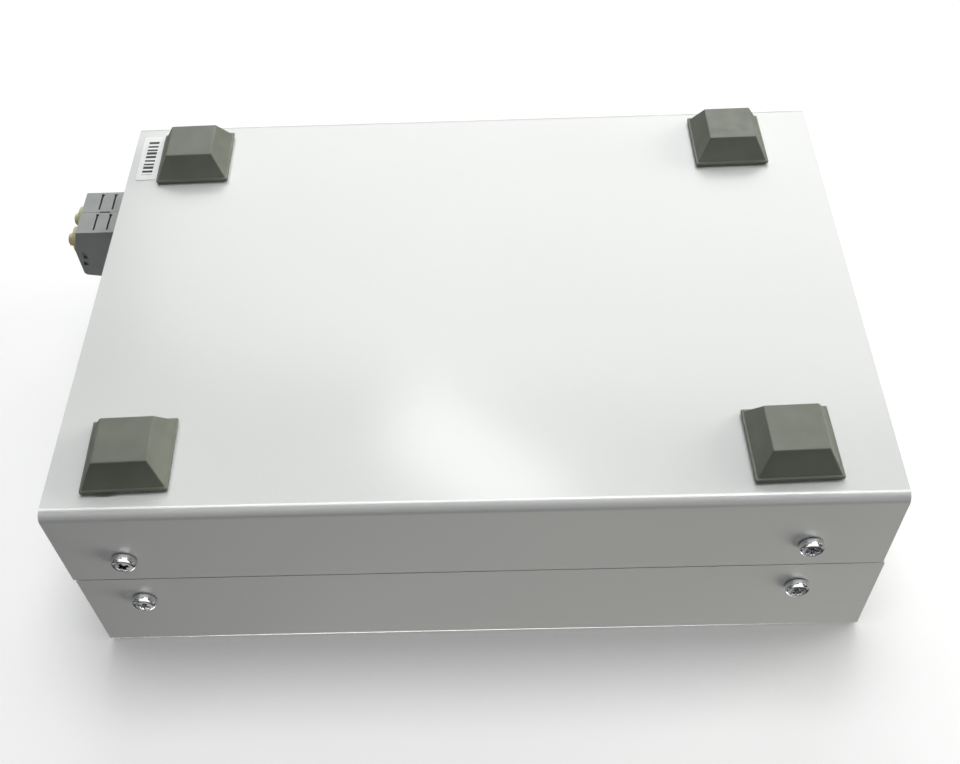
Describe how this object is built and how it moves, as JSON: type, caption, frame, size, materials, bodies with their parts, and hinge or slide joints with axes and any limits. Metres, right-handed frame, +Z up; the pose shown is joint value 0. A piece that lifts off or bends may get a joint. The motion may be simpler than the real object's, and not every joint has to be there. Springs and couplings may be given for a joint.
{
  "type": "fiber termination box",
  "caption": "Low sheet-metal box of two screwed shells on rubber feet, with a duplex fiber coupler and yellow dust caps at one end and a cable grommet at the other.",
  "frame": {"origin": "on the surface the box stands on, under the middle of the whole box, the coupler included", "axes": "+Z up, the coupler end faces -Y, the cable entry faces +Y, +X is the coupler's side of the box"},
  "size_m": [0.1448, 0.2232, 0.0695],
  "materials": {
    "powder_coat": "semi-gloss powder coat with fine orange peel",
    "panel_paint": "satin powder coat",
    "zinc_steel": "bright zinc plate",
    "foot_rubber": "matt moulded rubber",
    "adhesive_foam": "matt foam tape",
    "label_paper": "white sticker, satin",
    "coupler_plastic": "satin moulded plastic",
    "frame_plastic": "satin moulded plastic",
    "cap_plastic": "soft satin plastic",
    "ceramic": "polished ceramic",
    "plug_plastic": "moulded plastic",
    "fibre_jacket": "smooth fibre jacket",
    "tray_plastic": "moulded plastic",
    "clear_lid": "clear sheet",
    "holder_plastic": "moulded plastic",
    "splice_tube": "shrunk clear tube",
    "grommet_rubber": "matt black rubber"
  },
  "bodies": {
    "box": {"bottom_shell": "powder_coat", "top_cover": "powder_coat", "front_panel": "panel_paint", "rear_panel": "panel_paint", "press_nuts": "zinc_steel", "bottom_shell_screws": "zinc_steel", "top_cover_screws": "zinc_steel", "foot_front_left": "foot_rubber", "foot_front_right": "foot_rubber", "foot_rear_left": "foot_rubber", "foot_rear_right": "foot_rubber", "foot_adhesive_pads": "adhesive_foam", "serial_label": "label_paper", "coupler_frame": "frame_plastic", "coupler_frame_screws": "zinc_steel", "coupler_left": "coupler_plastic", "coupler_right": "coupler_plastic", "alignment_sleeve_left": "ceramic", "alignment_sleeve_right": "ceramic", "inner_plug_left": "plug_plastic", "inner_plug_right": "plug_plastic", "pigtail_left": "fibre_jacket", "pigtail_right": "fibre_jacket", "splice_tray": "tray_plastic", "tray_lid": "clear_lid", "splice_holder": "holder_plastic", "splice_sleeves": "splice_tube", "fibre_coil": "fibre_jacket", "tray_standoffs": "zinc_steel", "tray_screws": "zinc_steel", "cable_grommet": "grommet_rubber", "cable_clamp_base": "tray_plastic", "cable_clamp_bar": "tray_plastic", "clamp_studs": "zinc_steel", "clamp_nuts": "zinc_steel"},
    "dust_cap_left": {"dust_cap_left": "cap_plastic"},
    "dust_cap_right": {"dust_cap_right": "cap_plastic"}
  },
  "joints": [
    {"name": "dust_cap_left_pull", "type": "slide", "parent": "box", "child": "dust_cap_left", "axis": [0, -1, 0], "range_m": [0, 0.014]},
    {"name": "dust_cap_right_pull", "type": "slide", "parent": "box", "child": "dust_cap_right", "axis": [0, -1, 0], "range_m": [0, 0.014]}
  ]
}
